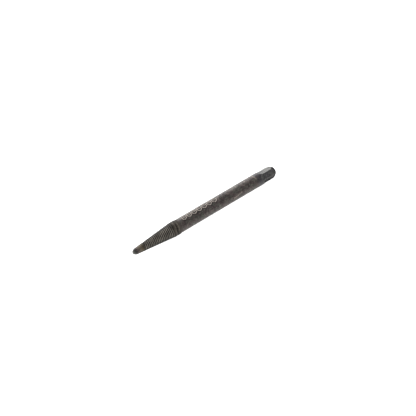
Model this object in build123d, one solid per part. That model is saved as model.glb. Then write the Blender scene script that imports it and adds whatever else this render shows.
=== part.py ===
from build123d import *
import math
import os

# Square-headed hand centre punch, one bar of tool steel lying on its side.
# Millimetres. +X runs along the bar from the point to the struck end, +Z is up.
# The origin lies on the surface that the punch rests on, below the middle of its length.
# The real tool is a single forging. Each zone of it that is shaped and finished in its
# own way is a solid of its own here, and neighbours meet face to face.

# ---- driving dimensions ----
OVERALL = 125.0            # tip of the point to the struck face
NOSE_D = 4.6               # where the ground point meets the taper
SHOULDER_D = 11.0          # crest of the shoulder, the thickest place
SHANK_ROOT_D = 10.3        # where the shank leaves the shoulder
SHANK_D = 10.1             # plain stretch, true to size, that a sleeve slides on
HEAD_SQUARE = 7.4          # across the flats of the square head
HEAD_CORNER_D = 10.0       # across the rounded corners of the square head
STRUCK_FACE_D = 5.4        # flat disc that the hammer hits

# ---- places along the bar, from the tip ----
POINT_ANGLE = 90.0         # included angle of the ground point
TIP_BALL_R = 2.2           # the cone's end is worn to a blunt ball
TAPER_START = 9.1          # smooth nose ends, grooved taper begins
SHOULDER_START = 32.8      # grooved taper ends, shoulder begins
CREST_START = 34.2         # the cone reaches the shoulder's full size
CREST_END = 37.3
SHANK_START = 40.0         # shoulder ends, shank begins
PLAIN_START = 84.0         # the shank's slight taper ends, true round bar begins
HEAD_START = 111.5         # cutter run-out of the flats begins
CORNER_START = 113.0       # the square's corners reach their own size
CHAMFER_LENGTH = 3.1       # conical chamfer around the struck face

HEAD_ROLL = 35.5           # the front flat looks this many degrees above level
RUNOUT_R = 4.0             # radius that the milling cutter leaves at the end of each flat

# ---- turned grooves ----
GROOVE_COUNT = 18          # coarse feed grooves on the taper
GROOVE_DEPTH = 0.14
GROOVE_WIDTH = 0.80
RING_DEPTH = 0.20          # the two wide rings that edge the shoulder
RING_WIDTH = 1.1
RING_PLACES = (33.5, 36.8)

# ---- raised pattern on the top of the shank ----
MARK_ROLL = 9.0            # the row looks this many degrees behind straight up
MARK_HEIGHT = 0.22
MARK_START = 42.9
MARK_COUNT = 7
MARK_LENGTH = 4.0          # of a six-sided cell, along the bar, flat to flat
MARK_WIDTH = 4.5           # of a cell, across the bar, corner to corner
MARK_GAP = 0.4
MARK_RIB = 0.8             # width of the raised frame around each cell
STUD_D = 0.9               # small round stud in the middle of each cell
SMALL_MARKS = (76.6, 80.0) # middles of the two smaller cells that end the row
SMALL_SCALE = 0.62

# ---- worked out from the driving dimensions ----
NOSE_R = NOSE_D / 2
SHOULDER_R = SHOULDER_D / 2
SHANK_ROOT_R = SHANK_ROOT_D / 2
SHANK_R = SHANK_D / 2
HALF_ANGLE = math.radians(POINT_ANGLE / 2)
POINT_LENGTH = NOSE_R / math.tan(HALF_ANGLE) - TIP_BALL_R * (1 / math.sin(HALF_ANGLE) - 1)
CHAMFER_START = OVERALL - CHAMFER_LENGTH

PLACE = Pos(-OVERALL / 2, 0, SHOULDER_R)


def surface_radius(x):
    """Radius before any groove: a cone up to the crest, level, then an S curve down."""
    if x <= CREST_START:
        share = (x - POINT_LENGTH) / (CREST_START - POINT_LENGTH)
        return NOSE_R + share * (SHOULDER_R - NOSE_R)
    if x <= CREST_END:
        return SHOULDER_R
    share = (x - CREST_END) / (SHANK_START - CREST_END)
    return SHANK_ROOT_R + (SHOULDER_R - SHANK_ROOT_R) * (1 + math.cos(math.pi * share)) / 2


def turned(outline):
    """Solid turned about the bar's axis from (x, radius) points, closed along the axis."""
    ends = [(outline[0][0], 0), (outline[-1][0], 0)]
    points = [ends[0], *outline, ends[1]]
    return revolve(make_face(Polyline(*points, close=True)), Axis.X, 360)


def groove(x, width, depth):
    """Three points of a V groove centred at x, its lips on the bar's surface."""
    half = width / 2
    return [
        (x - half, surface_radius(x - half)),
        (x, surface_radius(x) - depth),
        (x + half, surface_radius(x + half)),
    ]


def make_point():
    """Cone ground to the point angle, with a small ball at its tip."""
    ball_end = (TIP_BALL_R * (1 - math.sin(HALF_ANGLE)), TIP_BALL_R * math.cos(HALF_ANGLE))
    quarter = (math.pi / 2 - HALF_ANGLE) / 2
    ball_middle = (TIP_BALL_R * (1 - math.cos(quarter)), TIP_BALL_R * math.sin(quarter))
    edges = [
        ThreePointArc((0, 0), ball_middle, ball_end),
        Line(ball_end, (POINT_LENGTH, NOSE_R)),
        Line((POINT_LENGTH, NOSE_R), (POINT_LENGTH, 0)),
        Line((POINT_LENGTH, 0), (0, 0)),
    ]
    return revolve(make_face(edges), Axis.X, 360)


def make_smooth_nose():
    """Plain ground cone between the point and the first groove."""
    return turned([(x, surface_radius(x)) for x in (POINT_LENGTH, TAPER_START)])


def make_grooved_taper():
    """Cone with evenly spaced turned grooves."""
    pitch = (SHOULDER_START - TAPER_START) / GROOVE_COUNT
    outline = [(TAPER_START, surface_radius(TAPER_START))]
    for index in range(GROOVE_COUNT):
        outline += groove(TAPER_START + (index + 0.5) * pitch, GROOVE_WIDTH, GROOVE_DEPTH)
    outline.append((SHOULDER_START, surface_radius(SHOULDER_START)))
    return turned(outline)


def make_shoulder():
    """Low collar between two wide rings, easing down to the plain bar."""
    ease_steps = 5
    ease_from = RING_PLACES[1] + RING_WIDTH / 2
    ease = [ease_from + (SHANK_START - ease_from) * (k + 1) / ease_steps for k in range(ease_steps)]
    outline = [(SHOULDER_START, surface_radius(SHOULDER_START))]
    outline += groove(RING_PLACES[0], RING_WIDTH, RING_DEPTH)
    outline.append((CREST_START, SHOULDER_R))
    outline += groove(RING_PLACES[1], RING_WIDTH, RING_DEPTH)
    outline += [(x, surface_radius(x)) for x in ease]
    return turned(outline)


def cell_outline(scale):
    """Six-sided outline with two sides across the bar and two corners on its flanks."""
    side = MARK_LENGTH / 2 * scale
    corner = MARK_WIDTH / 2 * scale
    return Polygon(
        (side, corner / 2), (0, corner), (-side, corner / 2),
        (-side, -corner / 2), (0, -corner), (side, -corner / 2),
    )


def cell(x, scale):
    """Flat outline of one raised cell: a frame with a round stud in its middle."""
    hollow = cell_outline(scale * (1 - 2 * MARK_RIB / MARK_LENGTH))
    stud = Circle(STUD_D / 2 * scale)
    return Pos(x, 0, 0) * (cell_outline(scale) - hollow + stud)


def shank_blank(allowance):
    """The shank's two stretches, slightly tapered then true round, with extra radius."""
    return turned([
        (SHANK_START, SHANK_ROOT_R + allowance),
        (PLAIN_START, SHANK_R + allowance),
        (HEAD_START, SHANK_R + allowance),
    ])


def make_shank():
    """Rolled bar with a row of raised cells along its top."""
    body = shank_blank(0)
    skin = shank_blank(MARK_HEIGHT)
    turn = Rot(-MARK_ROLL, 0, 0)
    for index in range(MARK_COUNT):
        middle = MARK_START + (index + 0.5) * (MARK_LENGTH + MARK_GAP)
        body += turn * extrude(cell(middle, 1.0), SHANK_D) & skin
    for middle in SMALL_MARKS:
        body += turn * extrude(cell(middle, SMALL_SCALE), SHANK_D) & skin
    return body


def flat_cutter(turn):
    """Milling cut for one flat: a block whose rounded heel leaves the run-out."""
    level = HEAD_SQUARE / 2
    depth = SHANK_R - level
    heel = HEAD_START + math.sqrt(2 * RUNOUT_R * depth - depth * depth)
    past_end = OVERALL + 1
    top = level + RUNOUT_R
    mid_x = heel - RUNOUT_R * math.sin(math.pi / 4)
    mid_y = top - RUNOUT_R * math.cos(math.pi / 4)
    side = make_face([
        Line((heel, level), (past_end, level)),
        Line((past_end, level), (past_end, top)),
        Line((past_end, top), (heel - RUNOUT_R, top)),
        ThreePointArc((heel - RUNOUT_R, top), (mid_x, mid_y), (heel, level)),
    ])
    return Rot(turn, 0, 0) * extrude(side, SHANK_D, both=True)


def make_head():
    """Round stock eased to the corners' size, chamfered, then cut to a square."""
    stock = turned([
        (HEAD_START, SHANK_R),
        (CORNER_START, HEAD_CORNER_D / 2),
        (CHAMFER_START, HEAD_CORNER_D / 2),
        (OVERALL, STRUCK_FACE_D / 2),
    ])
    for quarter in range(4):
        stock -= flat_cutter(180 - HEAD_ROLL + quarter * 90)
    return stock


def slice_of(solid, x_start, x_end):
    """The part of a solid between two places along the bar."""
    block = Box(x_end - x_start, 2 * SHANK_D, 2 * SHANK_D)
    return solid & (Pos((x_start + x_end) / 2, 0, 0) * block)


head = make_head()
nodes = {
    "point": make_point(),
    "smooth_nose": make_smooth_nose(),
    "grooved_taper": make_grooved_taper(),
    "shoulder": make_shoulder(),
    "shank": make_shank(),
    "square_head": slice_of(head, HEAD_START, CHAMFER_START),
    "struck_end": slice_of(head, CHAMFER_START, OVERALL),
}

os.makedirs("parts", exist_ok=True)
for name, solid in nodes.items():
    export_step(PLACE * solid, f"parts/{name}.step")
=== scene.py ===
import bpy
import numpy as np

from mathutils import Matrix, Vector


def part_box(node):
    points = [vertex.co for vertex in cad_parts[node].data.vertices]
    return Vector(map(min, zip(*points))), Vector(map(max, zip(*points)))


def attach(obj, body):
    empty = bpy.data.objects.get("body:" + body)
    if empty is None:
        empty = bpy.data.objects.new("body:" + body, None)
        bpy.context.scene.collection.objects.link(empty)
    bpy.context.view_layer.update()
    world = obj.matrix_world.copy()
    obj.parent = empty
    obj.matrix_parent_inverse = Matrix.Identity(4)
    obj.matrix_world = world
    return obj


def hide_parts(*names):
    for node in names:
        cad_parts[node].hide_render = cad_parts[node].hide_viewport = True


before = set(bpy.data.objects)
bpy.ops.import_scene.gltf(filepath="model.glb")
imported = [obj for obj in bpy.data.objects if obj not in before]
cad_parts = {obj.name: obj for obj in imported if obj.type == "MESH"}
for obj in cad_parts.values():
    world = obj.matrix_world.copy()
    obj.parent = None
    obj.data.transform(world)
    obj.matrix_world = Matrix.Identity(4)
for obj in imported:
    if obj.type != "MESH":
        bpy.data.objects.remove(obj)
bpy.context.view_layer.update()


# ---------------------------------------------------------------------------
# Ground point. The working end of the hardened bar: a 90 degree cone, ground
# on a wheel that left fine lines round it, and worn by use to a blunt ball.
# ---------------------------------------------------------------------------
MM = 0.001
ROUND = 2 * np.pi
tip_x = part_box("point")[0].x
axis_z = (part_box("shoulder")[0].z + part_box("shoulder")[1].z) / 2


def reach(node):
    """Start and end of a zone along the bar and its largest radius, in metres from the tip."""
    low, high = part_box(node)
    return low.x - tip_x, high.x - tip_x, (high.y - low.y) / 2


_, point_end, nose_r = reach("point")
_, shoulder_end, shoulder_r = reach("shoulder")
shank_root_r = reach("shank")[2]
shank_r = 5.05 * MM
crest_start = 34.2 * MM
crest_end = 37.3 * MM
plain_start = 84.0 * MM
ball_r = 2.2 * MM
ball_end = ball_r * (1 - np.sin(np.pi / 4))
rim_rounding = 1.4 * MM


def soft_min(a, b, rounding):
    """The smaller of two surfaces, with the corner between them rounded over that width."""
    near = np.maximum(rounding - np.abs(a - b), 0) / rounding
    return np.minimum(a, b) - near * near * rounding / 4


def turned_radius(along):
    """Radius of the bar before grooves and marks: a ball, the point's cone, the slow taper,
    a level crest, an S curve down to the shank, then the shank's own slight taper."""
    along = np.asarray(along, float)
    ball = np.sqrt(np.maximum(2 * ball_r * along - along * along, 0))
    cone = ball_r * np.cos(np.pi / 4) + along - ball_end
    point = np.where(along < ball_end, ball, cone)
    slope = (shoulder_r - nose_r) / (crest_start - point_end)
    taper = nose_r + slope * (along - point_end)
    front = soft_min(soft_min(point, taper, rim_rounding), shoulder_r + 0 * along, 0.1 * MM)
    fall = np.clip((along - crest_end) / (shoulder_end - crest_end), 0, 1)
    ease = (1 + np.cos(np.pi * fall)) / 2
    neck = shank_root_r + (shoulder_r - shank_root_r) * ease
    draft = np.clip((along - shoulder_end) / (plain_start - shoulder_end), 0, 1)
    shank = shank_root_r + (shank_r - shank_root_r) * draft
    return np.where(along < crest_end, front, np.where(along < shoulder_end, neck, shank))


def waves(along, around, size, seed, count=28, slants=(0, np.pi)):
    """Unevenness of about one size, from -1 to 1 or so: a sum of plane waves with random
    slants, each with a whole number of crests round the bar so that the pattern closes."""
    chance = np.random.default_rng(seed)
    girth = ROUND * shank_r
    total = 0.0
    for _ in range(count):
        slant = chance.uniform(*slants)
        length = size * chance.uniform(0.75, 1.4)
        crests = round(np.cos(slant) * girth / length)
        rate = ROUND * np.sin(slant) / length
        total = total + np.cos(rate * along + crests * around + chance.uniform(0, ROUND))
    return total / np.sqrt(2 * count)


def bar_skin(name, along, around, radius, marks, sharp_ends=(True, True)):
    """Closed skin of one zone. A grid point lies at its distance along the bar, at an angle
    around it from straight up towards the front, and at its radius from the axis. Each end
    is closed by a fan about the axis, behind a sharp edge if it meets another zone."""
    along, around, radius = np.broadcast_arrays(along, around, radius)
    rings, spokes = radius.shape
    grid = np.stack([tip_x + along, -radius * np.sin(around), axis_z + radius * np.cos(around)], -1)
    hubs = [[tip_x + along[0].mean(), 0, axis_z], [tip_x + along[-1].mean(), 0, axis_z]]
    points = np.concatenate([grid.reshape(-1, 3), hubs])
    index = np.arange(rings * spokes).reshape(rings, spokes)
    painted_shadow = np.roll(index, -1, axis=1)
    quads = np.stack([index[:-1], painted_shadow[:-1], painted_shadow[1:], index[1:]], -1).reshape(-1, 4)
    hub = rings * spokes
    first = np.stack([np.full(spokes, hub), painted_shadow[0], index[0]], -1)
    last = np.stack([np.full(spokes, hub + 1), index[-1], painted_shadow[-1]], -1)
    mesh = bpy.data.meshes.new(name)
    mesh.from_pydata(points.tolist(), [], quads.tolist() + first.tolist() + last.tolist())
    mesh.shade_smooth()
    ends = np.zeros(len(mesh.edges) * 2, np.int64)
    mesh.edges.foreach_get("vertices", ends)
    ends = ends.reshape(-1, 2)
    sharp = np.zeros(len(ends), bool)
    if sharp_ends[0]:
        sharp |= (ends < spokes).all(1)
    if sharp_ends[1]:
        sharp |= ((ends >= hub - spokes) & (ends < hub)).all(1)
    mesh.attributes.new("sharp_edge", "BOOLEAN", "EDGE").data.foreach_set("value", sharp)
    for label, values in marks.items():
        values = np.broadcast_to(values, radius.shape)
        whole = np.concatenate([values.ravel(), [values[0].mean(), values[-1].mean()]])
        field = mesh.attributes.new(label, "FLOAT", "POINT")
        field.data.foreach_set("value", whole.astype(np.float32))
    piece = bpy.data.objects.new(name, mesh)
    bpy.context.scene.collection.objects.link(piece)
    return piece


class Value:
    """A shader socket that takes arithmetic: each operator adds one Math node."""

    def __init__(self, finish, socket):
        self.finish = finish
        self.socket = socket

    def __add__(self, other):
        return self.finish.math("ADD", self, other)

    def __sub__(self, other):
        return self.finish.math("SUBTRACT", self, other)

    def __mul__(self, other):
        return self.finish.math("MULTIPLY", self, other)

    def __rsub__(self, other):
        return self.finish.math("SUBTRACT", other, self)

    __radd__ = __add__
    __rmul__ = __mul__

    def kept(self):
        """The value held between 0 and 1."""
        return self.finish.node("Clamp", {}, {"Value": self})

    def between(self, low, high):
        """0 below low, 1 above high, smooth between them."""
        stops = {"interpolation_type": "SMOOTHSTEP"}
        return self.finish.node("MapRange", stops, {"Value": self, "From Min": low, "From Max": high})


class Finish:
    """A material under construction: one Principled shader and the nodes that feed it."""

    def __init__(self, name):
        self.material = bpy.data.materials.new(name)
        self.material.use_nodes = True
        self.tree = self.material.node_tree
        self.shader = self.tree.nodes["Principled BSDF"]
        self.place = self.node("TexCoord", {}, {}, "Object")

    def node(self, kind, settings, inputs, output=0):
        """Adds a node of a type, applies its settings, then its values or links."""
        made = self.tree.nodes.new("ShaderNode" + kind)
        for key, setting in settings.items():
            if key == "stops":
                self.set_stops(made.color_ramp, setting)
            else:
                setattr(made, key, setting)
        for key, value in inputs.items():
            self.feed(made.inputs[key], value)
        return Value(self, made.outputs[output])

    def set_stops(self, ramp, stops):
        """Gives a colour ramp its list of (place, colour) stops."""
        while len(ramp.elements) < len(stops):
            ramp.elements.new(0.5)
        for element, (at, colour) in zip(ramp.elements, stops):
            element.position = at
            element.color = (*colour, 1)

    def feed(self, socket, value):
        """Links a Value to a socket, or sets the socket to a plain value."""
        if isinstance(value, Value):
            self.tree.links.new(value.socket, socket)
        else:
            socket.default_value = value

    def math(self, operation, left, right):
        return self.node("Math", {"operation": operation}, {0: left, 1: right})

    def mark(self, label):
        """A value stored on the piece's own points."""
        return self.node("Attribute", {"attribute_name": label}, {}, "Fac")

    def stretched(self, along, across):
        """Coordinates scaled along the bar and across it, in repeats per metre."""
        scale = (along, across, across)
        return self.node("VectorMath", {"operation": "MULTIPLY"}, {0: self.place, 1: scale})

    def grain(self, along, across, detail=3.0, rough=0.55):
        """Noise from 0 to 1 with its own repeats per metre along and across the bar."""
        inputs = {"Vector": self.stretched(along, across), "Scale": 1.0, "Detail": detail}
        return self.node("TexNoise", {}, {**inputs, "Roughness": rough})

    def ramp(self, value, stops):
        """A colour read from a list of stops."""
        return self.node("ValToRGB", {"stops": stops}, {"Fac": value})

    def blend(self, factor, under, over):
        """One colour laid over another by a factor."""
        under, over = [c if isinstance(c, Value) else (*c, 1) for c in (under, over)]
        inputs = {0: factor, 6: under, 7: over}
        return self.node("Mix", {"data_type": "RGBA"}, inputs, 2)

    def bump(self, height, depth, strength=1.0, under=None):
        """Small relief of a depth in metres, on top of an earlier normal if there is one."""
        inputs = {"Height": height, "Distance": depth, "Strength": strength}
        if under is not None:
            inputs["Normal"] = under
        return self.node("Bump", {}, inputs)

    def wear_on(self, piece, **sockets):
        """Feeds the shader's sockets and puts the material on a piece."""
        for key, value in sockets.items():
            self.feed(self.shader.inputs[key.replace("_", " ").title()], value)
        piece.data.materials.append(self.material)


def settle(piece, node):
    """Fixes a finished piece to the bar's one body, in place of its CAD zone."""
    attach(piece, "root")
    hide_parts(node)


def angles(count, crowding=0.0):
    """Angles round the bar, crowded towards the top by a share from 0 to below 1."""
    even = np.arange(count) * ROUND / count - np.pi
    return even - crowding * np.sin(even)


# Rings crowd towards the tip. Grinding lines are a sine along the bar, 0.16 mm apart, whose phase
# wanders, and they fade out on the ball. The rim is the last part before the nose, and the rim mark
# paints it dark there as shade.
line_pitch = 0.16 * MM
line_height = 0.004 * MM
point_steps = np.linspace(0.05, 1, 70) ** 1.6 * point_end
along = point_steps[:, None]
around = angles(192)
lines = line_height * np.sin(along / line_pitch * ROUND + 0.6 * waves(along, around, 3 * MM, 3))
radius = turned_radius(along) + lines * np.clip(along / ball_end, 0, 1)
rim = np.clip(along / point_end * 2.6 - 1.6, 0, 1)
ground_point = bar_skin("ground_point", along, around, radius, {"rim": rim}, sharp_ends=(False, True))

steel = Finish("ground_point_steel")
rings = steel.grain(7000, 300)
cloud = steel.grain(1300, 1300)
shade = steel.ramp(rings * 0.4 + cloud * 0.6, [
    (0.32, (0.040, 0.041, 0.036)),
    (0.50, (0.105, 0.106, 0.094)),
    (0.66, (0.24, 0.24, 0.215)),
])
# Painted shade: the rim mark darkens the point's outer ring towards near-black.
steel.wear_on(
    ground_point,
    base_color=steel.blend(steel.mark("rim") * 0.8, shade, (0.022, 0.021, 0.020)),
    metallic=0.45,
    roughness=0.32 + 0.25 * cloud,
    normal=steel.bump(rings, 0.015 * MM),
)
settle(ground_point, "point")


# ---------------------------------------------------------------------------
# Tempered nose. The plain ground start of the taper, between the point and
# the first groove. Tempering left oxide colours on it: purple, brown, straw.
# ---------------------------------------------------------------------------
# The turned cone, uneven by a hundredth of a millimetre. Oil is least on the side that fingers
# wipe and grows with the angle away from it, sooner in the last 3 mm before the grooves.
nose_start, nose_end, _ = reach("smooth_nose")
nose_uneven = 0.012 * MM
nose_wiped_turn = np.radians(22)
along = np.linspace(nose_start, nose_end, 90)[:, None]
around = angles(208)
radius = turned_radius(along) + nose_uneven * waves(along, around, 2.2 * MM, 11)
late = 0.45 * np.clip((along - nose_end) / (3 * MM) + 1, 0, 1)
oil = np.clip(0.8 + late - np.cos(around - nose_wiped_turn), 0, 1)
tempered_nose = bar_skin("tempered_nose", along, around, radius, {"oil": oil})

steel = Finish("temper_coloured_steel")
far = steel.node("SeparateXYZ", {}, {"Vector": steel.place}, "X") - (tip_x + nose_start)
cloud = steel.grain(700, 700, 4.0)
heat = far * (1 / (nose_end - nose_start)) + 0.5 * (cloud - 0.5)
oxide = steel.ramp(heat, [
    (0.00, (0.052, 0.053, 0.048)),
    (0.14, (0.036, 0.034, 0.032)),
    (0.24, (0.082, 0.060, 0.062)),
    (0.34, (0.138, 0.113, 0.092)),
    (0.60, (0.150, 0.126, 0.094)),
    (0.80, (0.112, 0.088, 0.054)),
    (1.00, (0.060, 0.054, 0.038)),
])
rings = steel.grain(6000, 250)
dark = steel.blend((0.5 - cloud).between(0.02, 0.16) * 0.7, oxide, (0.030, 0.024, 0.024))
scored = steel.blend((rings - 0.5).kept() * 1.2, dark, (0.20, 0.175, 0.14))
steel.shader.inputs["Specular IOR Level"].default_value = 0.25
steel.wear_on(
    tempered_nose,
    base_color=steel.blend(steel.mark("oil") * 0.9, scored, (0.016, 0.015, 0.012)),
    metallic=0.15,
    roughness=0.40 + 0.2 * cloud,
    normal=steel.bump(rings, 0.02 * MM),
)
settle(tempered_nose, "smooth_nose")


# ---------------------------------------------------------------------------
# Turned taper. A coarse two-start thread, cut on a lathe with a chattering tool, for the fingers to hold.
# Crests are rubbed pale; valleys hold oil and are painted dark as shade.
# ---------------------------------------------------------------------------
taper_start, taper_end, _ = reach("grooved_taper")
GROOVES = 18
STARTS = 2
CHATTER = 19
groove_pitch = (taper_end - taper_start) / GROOVES
groove_depth = 0.20 * MM
front_turn = np.radians(31)
wiped_turn = np.radians(38)


def oil_and_underside_shade(along, around, seed):
    """How much oil and dirt a place holds, 0 to 1, with painted shade added: fingers wiped one side, so
    oil grows in patches with the angle away from there, and painted shade darkens it further towards the
    underside."""
    wiped = np.cos(around - wiped_turn)
    # Painted shade: darker towards the underside, added on top of the oil film.
    underside_shade = 0.5 * np.clip(np.sin(around - front_turn), 0, 1) ** 3
    return np.clip(1.6 - 1.5 * wiped + underside_shade + 0.25 * waves(along, around, 7 * MM, seed), 0, 1)


def valley(phase, narrow):
    """1 at whole phases, 0 between them: a raised cosine to a power, so valleys are narrow."""
    return ((1 + np.cos(ROUND * phase)) / 2) ** narrow


# The phase counts grooves along the bar and gains one per start in each turn, so the grooves
# are helices. The chattering tool bounced 19 times a turn, half a bounce on from groove to
# groove, in patches on the upper side: each cut is deeper and shallower by that beat. Cuts
# fade out at both ends of the taper. Crests are what lies between cuts.
rings_per_groove = 19
along = np.linspace(taper_start, taper_end, rings_per_groove * GROOVES + 1)[:, None]
around = angles(288)
shake = 0.05 * waves(along, around, 6 * MM, 21)
phase = (along - taper_start) / groove_pitch - 0.5 + STARTS * around / ROUND + shake
fade_in = np.clip((along - taper_start) / (0.4 * groove_pitch), 0, 1)
fade_out = np.clip((taper_end - along) / (0.5 * groove_pitch), 0, 1)
uneven = np.clip(0.85 + 0.35 * waves(along, around, 4 * MM, 22), 0.3, 1.3)
beat = np.cos(CHATTER * around + np.pi * phase) * np.clip(np.cos(around + 0.15), 0, 1) ** 3
beat = beat * np.clip(2.5 * waves(along, around, 6 * MM, 23) + 0.5, 0, 1)
cut = np.clip(valley(phase, 1.0) * uneven * (1 + beat), 0, 1.4) * fade_in * fade_out
crest = np.clip(1 - valley(phase, 0.6) - 0.7 * beat, 0, 1) * fade_in * fade_out
radius = turned_radius(along) - groove_depth * np.minimum(cut, 1.15)
marks = {"groove": cut, "crest": crest, "oil": oil_and_underside_shade(along, around, 24)}
turned_taper = bar_skin("turned_taper", along, around, radius, marks)


def oiled_and_shaded_steel(name):
    """Turned steel, oil-blackened: olive brown, painted darker towards the underside as shade, dark in
    its grooves for oil and painted shade, rubbed on its crests.
    """
    steel = Finish(name)
    cloud = steel.grain(500, 500, 4.0)
    fine = steel.grain(2300, 1500)
    groove = steel.mark("groove")
    skin = steel.ramp(cloud * 0.65 + fine * 0.35, [
        (0.36, (0.036, 0.028, 0.025)),
        (0.46, (0.068, 0.055, 0.045)),
        (0.55, (0.096, 0.083, 0.065)),
        (0.66, (0.140, 0.124, 0.100)),
    ])
    rubbed = steel.blend(steel.mark("crest") * (0.35 + fine), skin, (0.36, 0.33, 0.28))
    # The oil mark carries painted shade towards the underside as well as oil.
    oiled_and_shaded = steel.blend(steel.mark("oil") * 0.85, rubbed, (0.014, 0.012, 0.008))
    # Painted shade in the grooves: the valleys go near-black, for oil held in them and for shade.
    dark = steel.blend(groove.between(0.1, 0.6) * 0.96, oiled_and_shaded, (0.005, 0.0045, 0.004))
    steel.shader.inputs["Specular IOR Level"].default_value = 0.35
    return steel, dark, cloud, fine


steel, dark, cloud, fine = oiled_and_shaded_steel("oiled_shaded_taper_steel")
steel.wear_on(
    turned_taper,
    base_color=dark,
    metallic=0.20,
    roughness=0.58 + 0.22 * cloud,
    normal=steel.bump(fine, 0.03 * MM),
)
settle(turned_taper, "grooved_taper")


# ---------------------------------------------------------------------------
# Raised shoulder. The thickest stretch, a low collar between two wide turned
# rings, where the taper's cone ends. It eases down into the forged shank.
# ---------------------------------------------------------------------------
shoulder_start, shoulder_end, _ = reach("shoulder")
ring_places = (33.4 * MM, 36.2 * MM)
ring_width = 1.3 * MM
ring_depth = 0.22 * MM
ring_lean = 0.8 * MM
ring_turn = 0.54
lip_place = 37.5 * MM
collar_place = 35.0 * MM
scale_start = 38.2 * MM
feed_pitch = 1.15 * MM
feed_depth = 0.02 * MM


def ring_cut(along, place, width):
    """A round-bottomed ring: a raised cosine over its width, 1 in the middle, 0 outside."""
    return (1 + np.cos(np.pi * np.clip((along - place) / (width / 2), -1, 1))) / 2


# Rings lean: a sine of the angle shifts each place along the bar. Two wide cuts, uneven in
# depth, and fine feed lines lower the surface. The lip behind the second cut and the middle
# of the collar are rubbed pale in patches. Forge scale begins where the tool last touched.
along = np.linspace(shoulder_start, shoulder_end, 130)[:, None]
around = angles(288)
lean = ring_lean * np.sin(around - ring_turn) + 0.10 * MM * waves(along, around, 6 * MM, 31)
hold = np.clip((along - shoulder_start) / (0.3 * MM), 0, 1)
cut = hold * sum(ring_cut(along + lean, place, ring_width) for place in ring_places)
cut = cut * np.clip(0.95 + 0.35 * waves(along, around, 4 * MM, 35), 0.3, 1.3)
lip = ring_cut(along + lean, lip_place, 0.9 * MM)
lip = lip + 0.7 * ring_cut(along + lean, collar_place, 0.8 * MM)
crest = lip * np.clip(0.5 + 0.6 * waves(along, around, 2.5 * MM, 32), 0, 1)
feed = valley((along + lean) / feed_pitch + 0.25 * waves(along, around, 4 * MM, 34), 1.0) * hold
feed = feed * np.clip((shoulder_end - along) / (2.0 * MM), 0, 1)
radius = turned_radius(along) - ring_depth * cut - feed_depth * feed
scaled = np.clip((along + lean - scale_start) / (0.8 * MM), 0, 1)
# The groove mark darkens the rings and feed lines, for oil and as painted shade.
marks = {"groove": 0.55 * cut + 0.14 * feed, "crest": 0.8 * crest, "scaled": scaled}
marks["oil"] = oil_and_underside_shade(along, around, 33)
raised_shoulder = bar_skin("raised_shoulder", along, around, radius, marks)
steel, dark, cloud, fine = oiled_and_shaded_steel("oiled_shaded_shoulder_steel")
dark = steel.blend(steel.mark("scaled") * 0.85, dark, (0.078, 0.064, 0.060))
steel.wear_on(
    raised_shoulder,
    base_color=dark,
    metallic=0.20,
    roughness=0.56 + 0.22 * cloud,
    normal=steel.bump(fine, 0.03 * MM),
)
settle(raised_shoulder, "shoulder")


# ---------------------------------------------------------------------------
# Forged shank. The round grip of the tool, left with its rolled and forged
# skin of brown-black scale. A row of raised cells runs along its top.
# ---------------------------------------------------------------------------
shank_start, shank_end, _ = reach("shank")
MARKS = 7
MARK_TURN = np.radians(-9.0)
mark_start = 42.9 * MM
mark_length = 4.0 * MM
mark_width = 4.5 * MM
mark_gap = 0.4 * MM
mark_rib = 0.8 * MM
mark_height = 0.22 * MM
stud_r = 0.45 * MM
small_marks = (76.6 * MM, 80.0 * MM)
small_scale = 0.62
scratched_place = 49 * MM
stain_place = 79.5 * MM
blued_start = 106.9 * MM


def cell(along, across, scale):
    """One raised six-sided frame and its stud: height from 0 to 1, and the painted shadow next to it. A
    point's share of the way from the middle to the outline is the larger of its part of the half length,
    and half of that part plus its part of the half width. The rib is a strip of shares just inside 1. The
    painted shadow lies near the rib where the surface is lower than it, as a moat of shade, and as a spot
    of shade next to the stud."""
    long_part = np.abs(along) / (mark_length * scale / 2)
    wide_part = np.abs(across) / (mark_width * scale / 2)
    share = np.maximum(long_part, long_part / 2 + wide_part)
    half_rib = mark_rib / mark_length
    away = np.abs(share - (1 - half_rib)) / half_rib
    dome = np.clip(1.8 - 1.5 * np.hypot(along, across) / (stud_r * scale), 0, 1)
    height = np.maximum(np.clip(1.6 - 1.6 * away, 0, 1), dome)
    spot = np.hypot(along - 0.75 * MM * scale, across - 0.45 * MM * scale) / (0.45 * MM * scale)
    painted_shadow = np.clip(np.maximum(2.6 - away, 1.8 - spot), 0, 1) * (1 - height)
    return height * height * (3 - 2 * height), painted_shadow


def streak(along, around, begin, end, half_width):
    """A straight rubbed line between two places on the shank, each a distance in millimetres
    and an angle in degrees: 1 on the line, falling as a bell over its half width."""
    x, y = along - begin[0] * MM, (around - np.radians(begin[1])) * shank_r
    run_x, run_y = (end[0] - begin[0]) * MM, np.radians(end[1] - begin[1]) * shank_r
    share = np.clip((x * run_x + y * run_y) / (run_x**2 + run_y**2), 0, 1)
    gap = np.hypot(x - share * run_x, y - share * run_y)
    return np.exp(-((gap / (half_width * MM)) ** 2))


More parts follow.
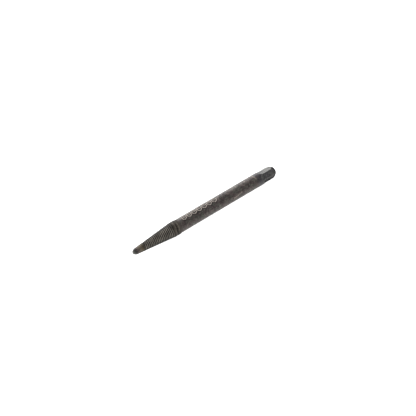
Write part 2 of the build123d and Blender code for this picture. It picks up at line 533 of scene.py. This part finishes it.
# Cells stand on the turned surface. The forged skin is a sum of waves of two sizes, with pits
# where small waves are high and laps where the scale was rolled over. Fine scratches run
# aslant below the row, rubs lie along the upper back, and dark specks trail one lap. A stain
# and a blued end are a flat-topped bell and a slope along the bar with uneven edges.
along = np.linspace(shank_start, shank_end, 400)[:, None]
around = angles(240, crowding=0.35)
plain = turned_radius(along)
across = plain * np.sin(around - MARK_TURN)
upper = np.cos(around - MARK_TURN) > 0
raised, bright, hollow = 0.0, 0.0, 0.0
places = [(mark_start + (k + 0.5) * (mark_length + mark_gap), 1.0) for k in range(MARKS)]
places += [(middle, small_scale) for middle in small_marks]
for middle, size in places:
    height, painted_shadow = cell(along - middle, across, size)
    worn_share = 1.0 if size == 1 else 0.5
    raised = np.maximum(raised, height * upper)
    bright = np.maximum(bright, height * upper * worn_share)
    hollow = np.maximum(hollow, painted_shadow * upper * worn_share)
# Painted shadow: a dark moat round each cell's rib and a dark spot next to each stud, kept off the raised
# parts.
hollow = hollow * (1 - raised)
forged = 0.034 * waves(along, around, 6 * MM, 41) + 0.020 * waves(along, around, 2.0 * MM, 42)
ends = np.clip(np.minimum(along - shank_start, shank_end - along) / (1.5 * MM), 0, 1)
pits = np.clip(waves(along, around, 1.5 * MM, 43, 40) - 0.75, 0, 1)
laps = 1.2 * streak(along, around, (85.8, 67), (92.8, 53), 0.5)
laps = np.maximum(laps, 0.9 * streak(along, around, (106.2, -30), (107.4, 20), 0.5))
laps = np.maximum(laps, 0.6 * streak(along, around, (74.6, 10), (76.0, -28), 0.4))
scratch = np.clip(waves(along, around, 1.9 * MM, 44, 30, (0.55, 0.95)) - 0.45, 0, 1)
scratch = scratch * np.exp(-(((along - scratched_place) / (7 * MM)) ** 2))
scratch = scratch * np.clip(np.sin(around), 0, 1)
crown = np.clip(np.cos(around + 0.75), 0, 1) ** 2
rubs = np.clip(waves(along, around, 3.2 * MM, 45, 36) - 0.15, 0, 1) * crown
specks = streak(along, around, (89.5, 76), (95.0, 64), 0.6) * np.clip(0.6 + pits * 3, 0, 1)
rubbed = np.clip(laps + 0.8 * scratch + 0.8 * rubs, 0, 1) * ends
radius = plain + mark_height * raised + MM * ends * (forged - 0.05 * pits + 0.05 * laps)
blued = np.clip((along - blued_start) / (1.8 * MM) + 0.35 * waves(along, around, 3 * MM, 46), 0, 1)
stain = 0.9 * np.exp(-(((along - stain_place) / (4 * MM)) ** 4)) * np.clip(np.cos(around + 0.7), 0, 1)
blued = np.maximum(blued, stain * np.clip(0.8 + 0.4 * waves(along, around, 3 * MM, 47), 0, 1))
pits = np.maximum(pits, 0.25 * specks)
marks = {"bright": bright, "hollow": hollow, "pit": pits, "rubbed": rubbed, "blued": blued}
forged_shank = bar_skin("forged_shank", along, around, radius, marks)

steel = Finish("forge_scaled_steel")
patch = steel.grain(480, 520, 4.0, 0.6)
cast = steel.grain(330, 420, 3.0)
fleck = steel.grain(900, 1000, 2.0)
brown = steel.ramp(patch * 0.55 + fleck * 0.45, [
    (0.38, (0.024, 0.017, 0.016)),
    (0.46, (0.058, 0.043, 0.041)),
    (0.54, (0.084, 0.065, 0.061)),
    (0.66, (0.16, 0.132, 0.120)),
])
grey = steel.ramp(patch * 0.5 + fleck * 0.5, [
    (0.38, (0.032, 0.031, 0.026)),
    (0.50, (0.072, 0.069, 0.058)),
    (0.65, (0.135, 0.129, 0.110)),
])
scale_colour = steel.blend(cast.between(0.47, 0.57), brown, grey)
blue_black = steel.blend(steel.mark("blued") * 0.75, scale_colour, (0.036, 0.034, 0.043))
worn = steel.blend(steel.mark("rubbed") * (0.35 + 0.8 * fleck), blue_black, (0.27, 0.225, 0.195))
# Painted shadow round the ribs and next to the studs, near-black.
relief_shadowed = steel.blend(steel.mark("hollow").between(0.1, 0.8) * 0.75, worn, (0.014, 0.012, 0.012))
top = steel.mark("bright").between(0.3, 0.9) * (0.45 + 0.9 * fleck)
topped = steel.blend(top, relief_shadowed, (0.44, 0.38, 0.33))
steel.wear_on(
    forged_shank,
    base_color=steel.blend(steel.mark("pit").between(0.0, 0.35) * 0.85, topped, (0.014, 0.010, 0.010)),
    metallic=0.20,
    roughness=0.36 + 0.25 * patch,
    normal=steel.bump(fleck * 0.6 + patch * 0.8, 0.07 * MM),
)
settle(forged_shank, "shank")


# ---------------------------------------------------------------------------
# Squared head. Four flats milled on the round bar, so that it can be held
# from turning. The cutter left a curved run-out and bars across each flat.
# ---------------------------------------------------------------------------
head_start, head_end, _ = reach("square_head")
crown_start, crown_end, _ = reach("struck_end")
HEAD_TURN = np.radians(54.5)
flat_level = 3.7 * MM
runout_r = 4.0 * MM
struck_face_r = 2.7 * MM
edge_rounding = 0.16 * MM
cone_rounding = 1.5 * MM
bar_pitch = 1.5 * MM
bar_slant = 11 * MM
bar_depth = 0.05 * MM
drawn_line = 1.35 * MM


def head_radius(along, around):
    """Radius of the squared head, how near its edges a point is, how much on its flats, and
    how far across its flat. The round stock and the end's cone are cut by four planes, and
    before its heel each plane lifts along the cutter's arc. Corners are rounded."""
    slope = (shank_r - struck_face_r) / (crown_end - crown_start)
    cone = struck_face_r + (crown_end - along) * slope
    depth = shank_r - flat_level
    heel = head_start + np.sqrt(2 * runout_r * depth - depth * depth)
    behind = np.clip(heel - along, 0, runout_r)
    level = flat_level + runout_r - np.sqrt(runout_r * runout_r - behind * behind)
    turn = (around - HEAD_TURN + np.pi / 4) % (np.pi / 2) - np.pi / 4
    flat = level / np.cos(turn)
    body = soft_min(shank_r + 0 * flat, cone + 0 * flat, cone_rounding)
    radius = soft_min(body, flat, edge_rounding)
    worn_width = np.where(along < crown_start, 0.45, 0.16) * MM
    edge = np.clip(1 - np.abs(body - flat) / worn_width, 0, 1)
    on_flat = np.clip((body - flat) / (0.12 * MM), 0, 1)
    return radius, edge, on_flat, level * np.tan(turn)


def head_marks(along, around):
    """What the head's two pieces share. Bars left by the cutter are raised cosines aslant on the flats,
    fading along the bar. The front flat has a pale drawn line, a bell across it, and painted shade in
    dark bands at its borders and near its heel. The chamfer's cone is painted dark as shade, and the top
    flat is painted paler as lit from above."""
    radius, edge, on_flat, over = head_radius(along, around)
    shake = 0.06 * waves(along, around, 5 * MM, 51)
    bars = valley(along / bar_pitch + over / bar_slant + shake, 0.8)
    fading = np.clip(1.3 - (along - head_start) / (8 * MM), 0.12, 1)
    facing = np.abs((around - HEAD_TURN + np.pi) % ROUND - np.pi) < np.pi / 4
    top = np.abs((around - HEAD_TURN + 1.5 * np.pi) % ROUND - np.pi) < np.pi / 4
    line = np.exp(-(((over - drawn_line) / (0.26 * MM)) ** 2)) * facing * on_flat
    line = line * np.clip(0.6 + 0.6 * waves(along, around, 4 * MM, 52), 0, 1)
    # Painted shade: dark bands at the front flat's lower and upper borders and near its heel, and on the
    # chamfer's cone.
    low = np.clip((over - 2.3 * MM) / (0.4 * MM), 0, 1)
    high = 0.8 * np.clip((-over - 2.5 * MM) / (0.5 * MM), 0, 1)
    heel = 0.6 * np.clip(1.2 - (along - head_start) / (3 * MM), 0, 1)
    cone = np.clip((along - crown_start - 0.2 * MM) / (0.4 * MM), 0, 1) * (1 - on_flat)
    brink = np.clip((along - crown_start - 0.4 * MM) / (0.6 * MM), 0, 1) * edge * on_flat
    # The top flat is painted paler, as light falling on it from above.
    return radius, {
        "edge": edge, "bar": bars * fading * on_flat, "line": np.maximum(line, brink),
        "band": np.maximum(np.maximum(np.maximum(low, high), heel) * facing * on_flat, cone),
        "rub": top * on_flat * np.clip(0.8 + 0.4 * waves(along, around, 5 * MM, 53), 0, 1),
    }


along = np.linspace(head_start, head_end, 150)[:, None]
around = angles(360)
radius, marks = head_marks(along, around)
radius = radius - bar_depth * marks["bar"]
squared_head = bar_skin("squared_head", along, around, radius, marks)


def milled_steel(name):
    """Milled steel, blue-black: bars across the flats, rubbed grey along its edges, painted paler on the
    top flat as light, and painted dark in bands of shade.
    """
    steel = Finish(name)
    cloud = steel.grain(480, 800, 4.0)
    lines = steel.grain(4200, 500)
    tint = steel.grain(600, 700, 2.0)
    skin = steel.ramp(cloud * 0.6 + lines * 0.4, [
        (0.38, (0.022, 0.020, 0.025)),
        (0.50, (0.062, 0.059, 0.063)),
        (0.62, (0.125, 0.121, 0.120)),
    ])
    olive = steel.blend(tint.between(0.52, 0.60) * 0.6, skin, (0.052, 0.060, 0.036))
    barred = steel.blend(steel.mark("bar") * 0.85, olive, (0.016, 0.016, 0.018))
    # Painted light: the top flat made paler, as lit from above.
    pale = steel.blend(steel.mark("rub") * (0.55 - 0.6 * steel.mark("bar")), barred, (0.18, 0.178, 0.162))
    drawn = steel.blend(steel.mark("line") * 0.6, pale, (0.24, 0.235, 0.225))
    # Painted shade in the bands.
    shade_banded = steel.blend(steel.mark("band") * 0.85, drawn, (0.018, 0.018, 0.021))
    worn = steel.mark("edge").between(0.55, 1.0) * (0.25 + 0.6 * cloud)
    return steel, steel.blend(worn, shade_banded, (0.26, 0.255, 0.245)), cloud, lines


steel, skin, cloud, lines = milled_steel("milled_head_steel")
steel.wear_on(
    squared_head,
    base_color=skin,
    metallic=0.30,
    roughness=0.30 + 0.25 * cloud + 0.3 * steel.mark("band"),
    normal=steel.bump(lines, 0.03 * MM),
)
settle(squared_head, "square_head")


# ---------------------------------------------------------------------------
# Struck crown. The chamfered end that the hammer hits. The face is bare and
# dented from use, and its rim is slightly rolled over.
# ---------------------------------------------------------------------------
# The side goes on from the head. The face is rings that shrink towards the axis: it falls as
# a square of the way out across the rim, and shallow dents lower it where waves are high.
side_rings = 46
face_rings = 40
rim = 0.7 * MM
dent_depth = 0.05 * MM
side = np.linspace(crown_start, crown_end - rim / 2, side_rings)[:, None]
around = angles(360)
side_radius, side_marks = head_marks(side, around)
side_radius = side_radius - bar_depth * side_marks["bar"]
inward = 1 - np.linspace(0, 1, face_rings + 1)[1:, None] * 0.985
face_radius = side_radius[-1] * inward
fall = np.clip((inward - (1 - rim / struck_face_r)) / (rim / struck_face_r), 0, 1)
dents = np.clip(waves(face_radius * 4, around, 6 * MM, 61) - 0.5, 0, 1) * (1 - inward**4)
face = crown_end - rim / 2 * fall * fall - dent_depth * dents
along = np.concatenate([side + 0 * side_radius, face])
radius = np.concatenate([side_radius, face_radius])
blank = 0 * face_radius
# The struck face's rolled rim is painted dark as shade.
face_marks = {
    "edge": 0.8 * (1 - fall) + blank, "bar": 0.6 * dents, "line": blank,
    "band": fall + blank, "rub": blank,
}
marks = {key: np.concatenate([side_marks[key], face_marks[key]]) for key in face_marks}
struck_crown = bar_skin("struck_crown", along, around, radius, marks, sharp_ends=(True, False))
steel, skin, cloud, lines = milled_steel("struck_crown_steel")
steel.shader.inputs["Specular IOR Level"].default_value = 0.2
steel.wear_on(
    struck_crown,
    base_color=skin,
    metallic=0.12,
    roughness=0.30 + 0.25 * cloud + 0.3 * steel.mark("band"),
    normal=steel.bump(lines, 0.03 * MM),
)
settle(struck_crown, "struck_end")


# ---------------------------------------------------------------------------
# Studio. A wide pale table under an even pale sky, one broad soft light
# behind the tool, and the camera in front, well above it, with a long lens.
# ---------------------------------------------------------------------------
table_half = 3.0
corners = [(-table_half, -table_half, 0), (table_half, -table_half, 0)]
corners += [(table_half, table_half, 0), (-table_half, table_half, 0)]
mesh = bpy.data.meshes.new("pale_table")
mesh.from_pydata(corners, [], [(0, 1, 2, 3)])
pale_table = bpy.data.objects.new("pale_table", mesh)
bpy.context.scene.collection.objects.link(pale_table)
paint = Finish("pale_table_paint")
paint.wear_on(
    pale_table,
    base_color=(0.8, 0.8, 0.8, 1),
    roughness=0.9,
    emission_color=(1, 1, 1, 1),
    emission_strength=1.0,
)

sky = bpy.data.worlds.new("studio_sky")
sky.use_nodes = True
sky.node_tree.nodes["Background"].inputs["Color"].default_value = (1, 1, 1, 1)
sky.node_tree.nodes["Background"].inputs["Strength"].default_value = 0.55
bpy.context.scene.world = sky

lamp = bpy.data.lights.new("soft_box", "AREA")
lamp.shape = "RECTANGLE"
lamp.size = 1.2
lamp.size_y = 0.8
lamp.energy = 13
soft_box = bpy.data.objects.new("soft_box", lamp)
soft_box.location = (0.1, 1.0, 0.4)
bpy.context.scene.collection.objects.link(soft_box)
away = -soft_box.location
soft_box.rotation_mode = "QUATERNION"
soft_box.rotation_quaternion = away.to_track_quat("-Z", "Y")

azimuth, elevation = np.radians(-36.1), np.radians(53.7)
distance = 1.2
right = np.array([np.cos(azimuth), np.sin(azimuth), 0.0])
back = np.array([
    np.sin(azimuth) * np.cos(elevation),
    -np.cos(azimuth) * np.cos(elevation),
    np.sin(elevation),
])
up = np.cross(back, right)
target = np.array([0, 0, axis_z]) + 2.43 * MM * right + 2.08 * MM * up
lens = bpy.data.cameras.new("studio_camera")
lens.lens = 145.0
lens.sensor_width = 36
lens.clip_start = 0.01
studio_camera = bpy.data.objects.new("studio_camera", lens)
studio_camera.location = target + back * distance
studio_camera.rotation_mode = "QUATERNION"
studio_camera.rotation_quaternion = Vector(back).to_track_quat("Z", "Y")
bpy.context.scene.collection.objects.link(studio_camera)
bpy.context.scene.camera = studio_camera
bpy.context.scene.view_settings.view_transform = "Standard"
